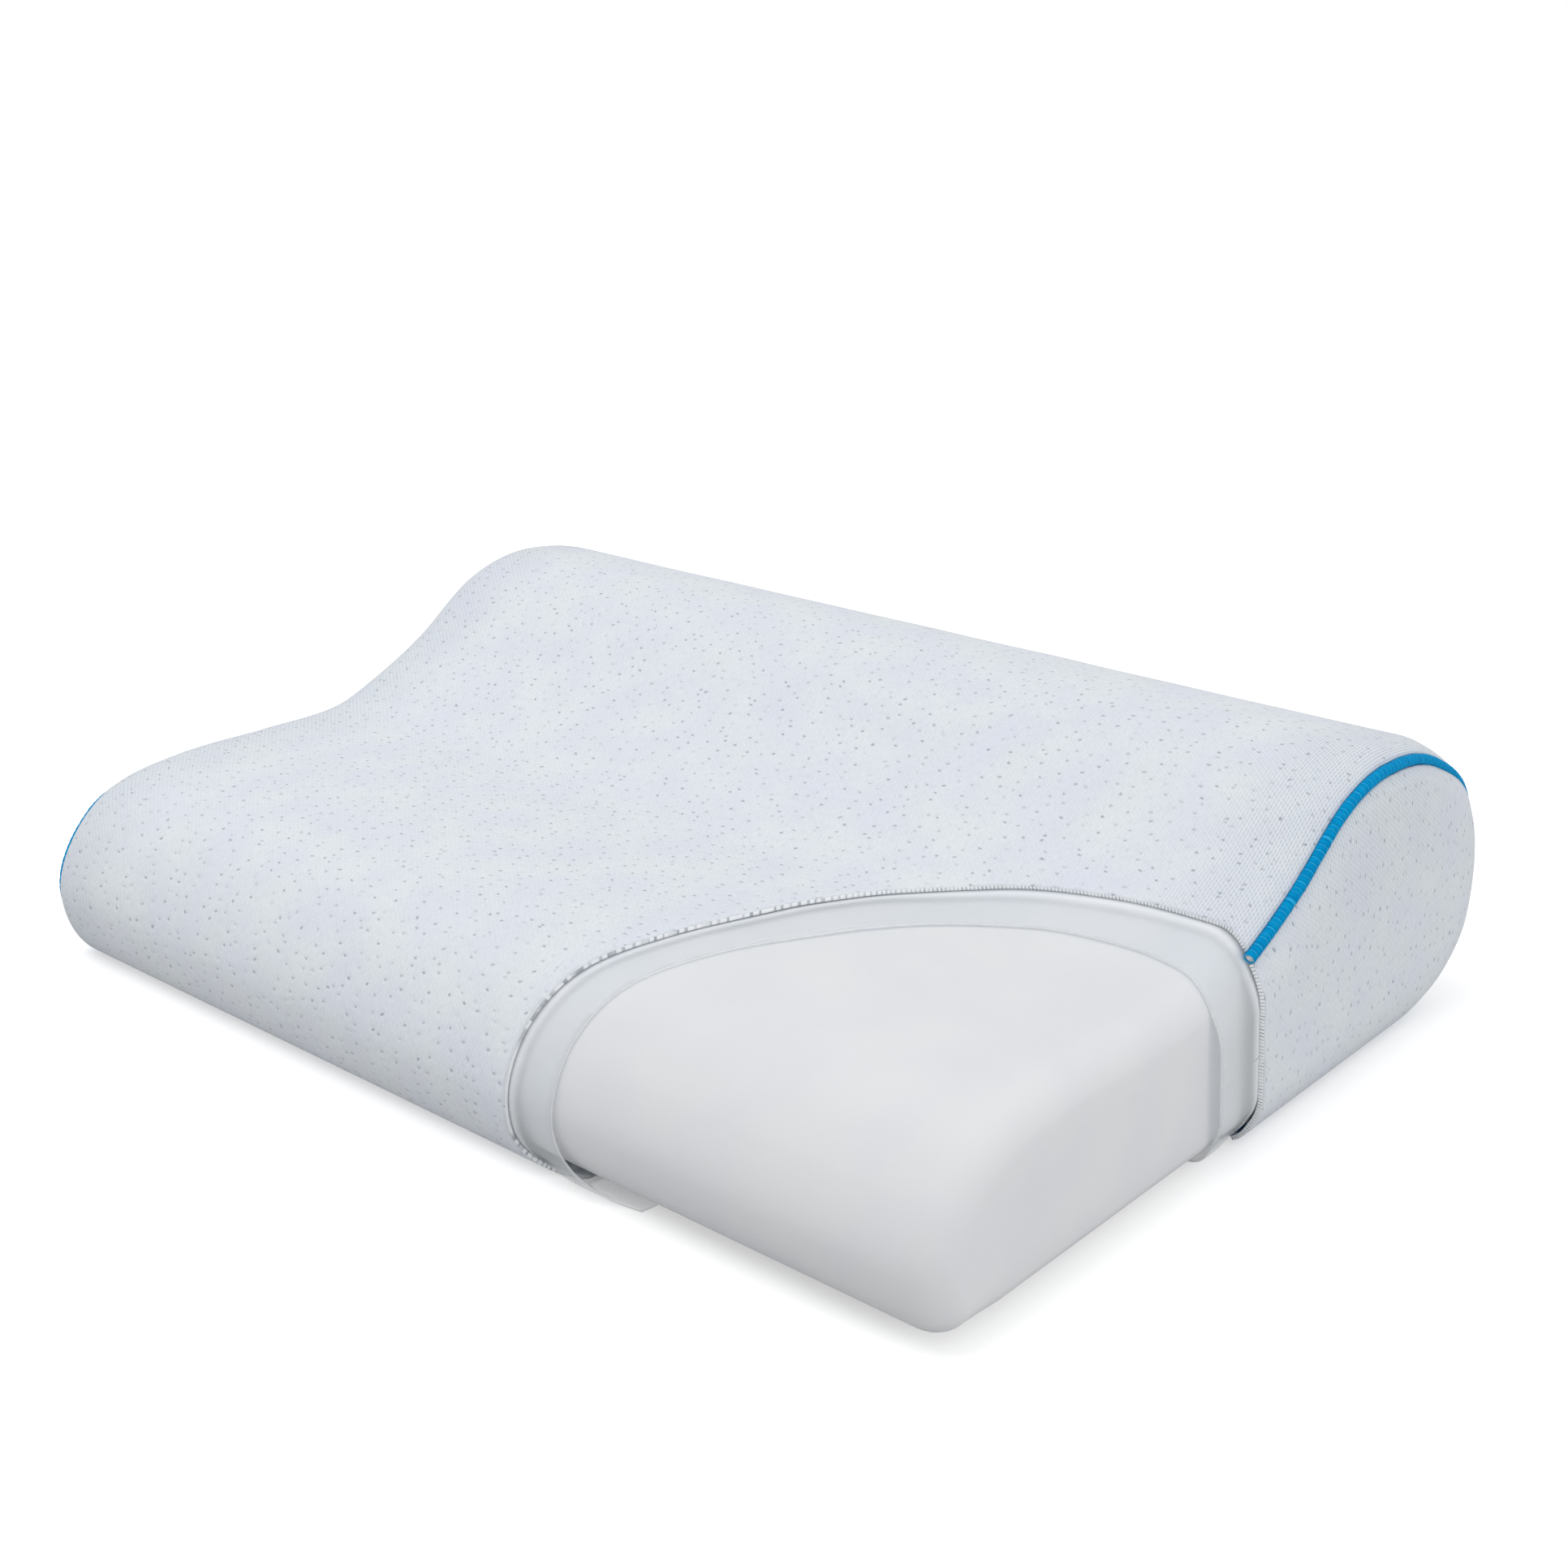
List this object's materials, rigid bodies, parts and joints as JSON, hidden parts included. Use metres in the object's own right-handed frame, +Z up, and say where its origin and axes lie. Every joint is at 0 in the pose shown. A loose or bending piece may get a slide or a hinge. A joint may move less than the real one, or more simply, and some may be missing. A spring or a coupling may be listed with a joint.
{
  "type": "contoured cervical pillow with a cut-away corner",
  "caption": "Contoured neck-support pillow with a low and a high lobe, a corded knit cover, and a corner cut away to show the liner and the foam core.",
  "frame": {"origin": "on the surface that the pillow lies on, under the middle of its box", "axes": "+X along the pillow's length towards the cut-away end, +Y from the low lobe to the high lobe, +Z up"},
  "size_m": [0.499, 0.3798, 0.1337],
  "materials": {
    "foam": "smooth matt moulded foam",
    "liner": "thin smooth half see-through jersey",
    "knit": "matt fine-ribbed knit with small pinholes",
    "piping": "matt bias-cut cloth over a cord"
  },
  "bodies": {
    "root": {"foam_core": "foam", "inner_liner": "liner", "cover_wrap": "knit", "end_panel_right": "knit", "end_panel_left": "knit", "piping_right": "piping", "piping_left": "piping"}
  },
  "joints": []
}
